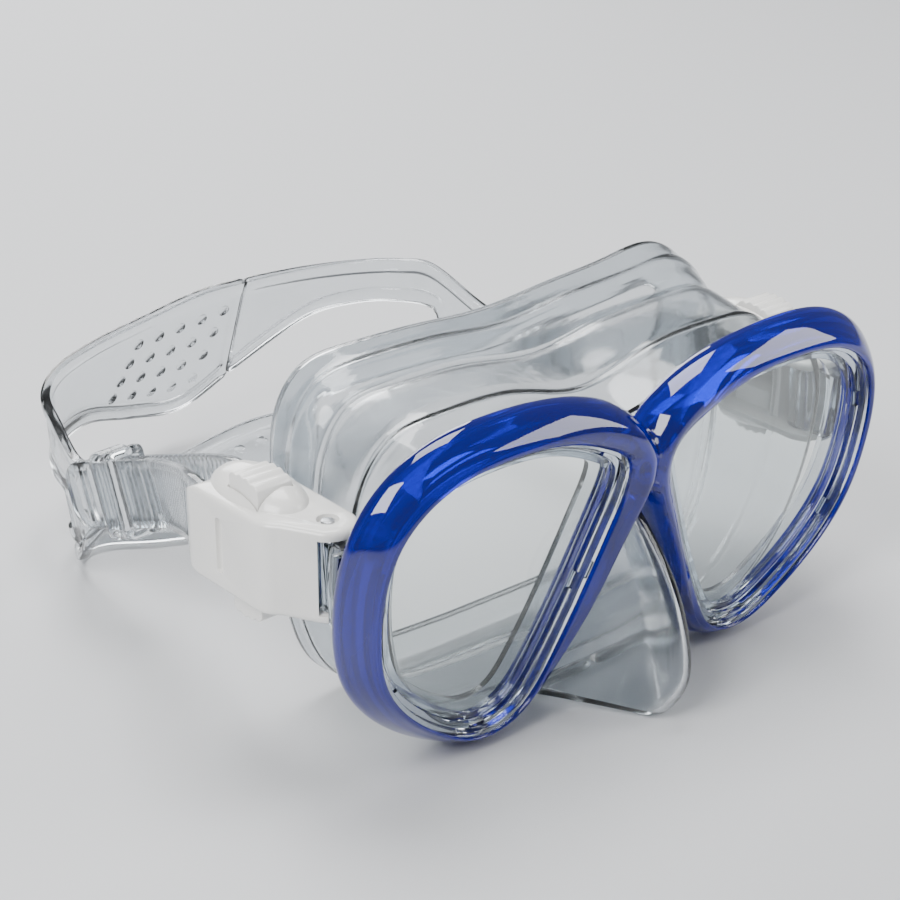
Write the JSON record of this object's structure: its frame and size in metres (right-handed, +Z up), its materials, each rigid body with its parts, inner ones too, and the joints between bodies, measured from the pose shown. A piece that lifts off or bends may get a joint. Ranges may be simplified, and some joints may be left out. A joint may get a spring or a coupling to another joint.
{
  "type": "diving mask",
  "caption": "Diving mask: paired glass lenses in a tinted rim, soft clear skirt with nose pocket, swivelling side buckles with squeeze buttons, and a split head strap.",
  "frame": {"origin": "centre of the bounding box at the floor it rests on", "axes": "+X towards the wearer's left, +Y from the lenses back to the head strap, +Z up"},
  "size_m": [0.1722, 0.2041, 0.0891],
  "materials": {
    "rim_blue": "gloss moulded polycarbonate, tinted through",
    "clear_plastic": "clear moulded polycarbonate",
    "lens_glass": "polished toughened flat glass",
    "skirt_silicone": "clear moulded silicone, polished and matt bands",
    "strap_silicone": "clear moulded silicone",
    "white_plastic": "gloss white moulded plastic",
    "pin_steel": "turned stainless steel"
  },
  "bodies": {
    "mask": {"outer_frame": "rim_blue", "skirt": "skirt_silicone", "strap_back": "strap_silicone", "right_lens_retainer": "clear_plastic", "right_lens": "lens_glass", "right_buckle_lug": "clear_plastic", "left_lens_retainer": "clear_plastic", "left_lens": "lens_glass", "left_buckle_lug": "clear_plastic"},
    "right_buckle": {"right_buckle_housing": "white_plastic", "right_buckle_cover": "white_plastic", "right_hinge_pin": "pin_steel", "right_roller_axle": "pin_steel", "right_strap_tongue": "strap_silicone"},
    "right_roller": {"right_strap_roller": "white_plastic"},
    "right_keeper": {"right_strap_keeper": "strap_silicone"},
    "right_upper_button": {"right_button_upper": "white_plastic"},
    "right_lower_button": {"right_button_lower": "white_plastic"},
    "left_buckle": {"left_buckle_housing": "white_plastic", "left_buckle_cover": "white_plastic", "left_hinge_pin": "pin_steel", "left_roller_axle": "pin_steel", "left_strap_tongue": "strap_silicone"},
    "left_roller": {"left_strap_roller": "white_plastic"},
    "left_keeper": {"left_strap_keeper": "strap_silicone"},
    "left_upper_button": {"left_button_upper": "white_plastic"},
    "left_lower_button": {"left_button_lower": "white_plastic"}
  },
  "joints": [
    {"name": "right_buckle_swivel", "type": "hinge", "parent": "mask", "child": "right_buckle", "pos_m": [-0.0735, -0.0672, 0.0528], "axis": [0, 0, 1], "range_deg": [0, 15]},
    {"name": "right_roller_turn", "type": "hinge", "parent": "right_buckle", "child": "right_roller", "pos_m": [-0.0745, -0.0357, 0.0528], "axis": [0, 0, 1], "continuous": true},
    {"name": "right_keeper_slide", "type": "slide", "parent": "right_buckle", "child": "right_keeper", "axis": [-0.057, 0.9381, -0.3417], "range_m": [-0.008, 0.005]},
    {"name": "right_upper_button_press", "type": "slide", "parent": "right_buckle", "child": "right_upper_button", "axis": [0, 0, -1], "range_m": [0, 0.0025], "stiffness_N_per_m": 400},
    {"name": "right_lower_button_press", "type": "slide", "parent": "right_buckle", "child": "right_lower_button", "axis": [0, 0, 1], "range_m": [0, 0.0025], "stiffness_N_per_m": 400},
    {"name": "left_buckle_swivel", "type": "hinge", "parent": "mask", "child": "left_buckle", "pos_m": [0.0735, -0.0672, 0.0528], "axis": [0, 0, -1], "range_deg": [0, 15]},
    {"name": "left_roller_turn", "type": "hinge", "parent": "left_buckle", "child": "left_roller", "pos_m": [0.0745, -0.0357, 0.0528], "axis": [0, 0, 1], "continuous": true},
    {"name": "left_keeper_slide", "type": "slide", "parent": "left_buckle", "child": "left_keeper", "axis": [0.057, 0.9381, -0.3417], "range_m": [-0.008, 0.005]},
    {"name": "left_upper_button_press", "type": "slide", "parent": "left_buckle", "child": "left_upper_button", "axis": [0, 0, -1], "range_m": [0, 0.0025], "stiffness_N_per_m": 400},
    {"name": "left_lower_button_press", "type": "slide", "parent": "left_buckle", "child": "left_lower_button", "axis": [0, 0, 1], "range_m": [0, 0.0025], "stiffness_N_per_m": 400}
  ]
}
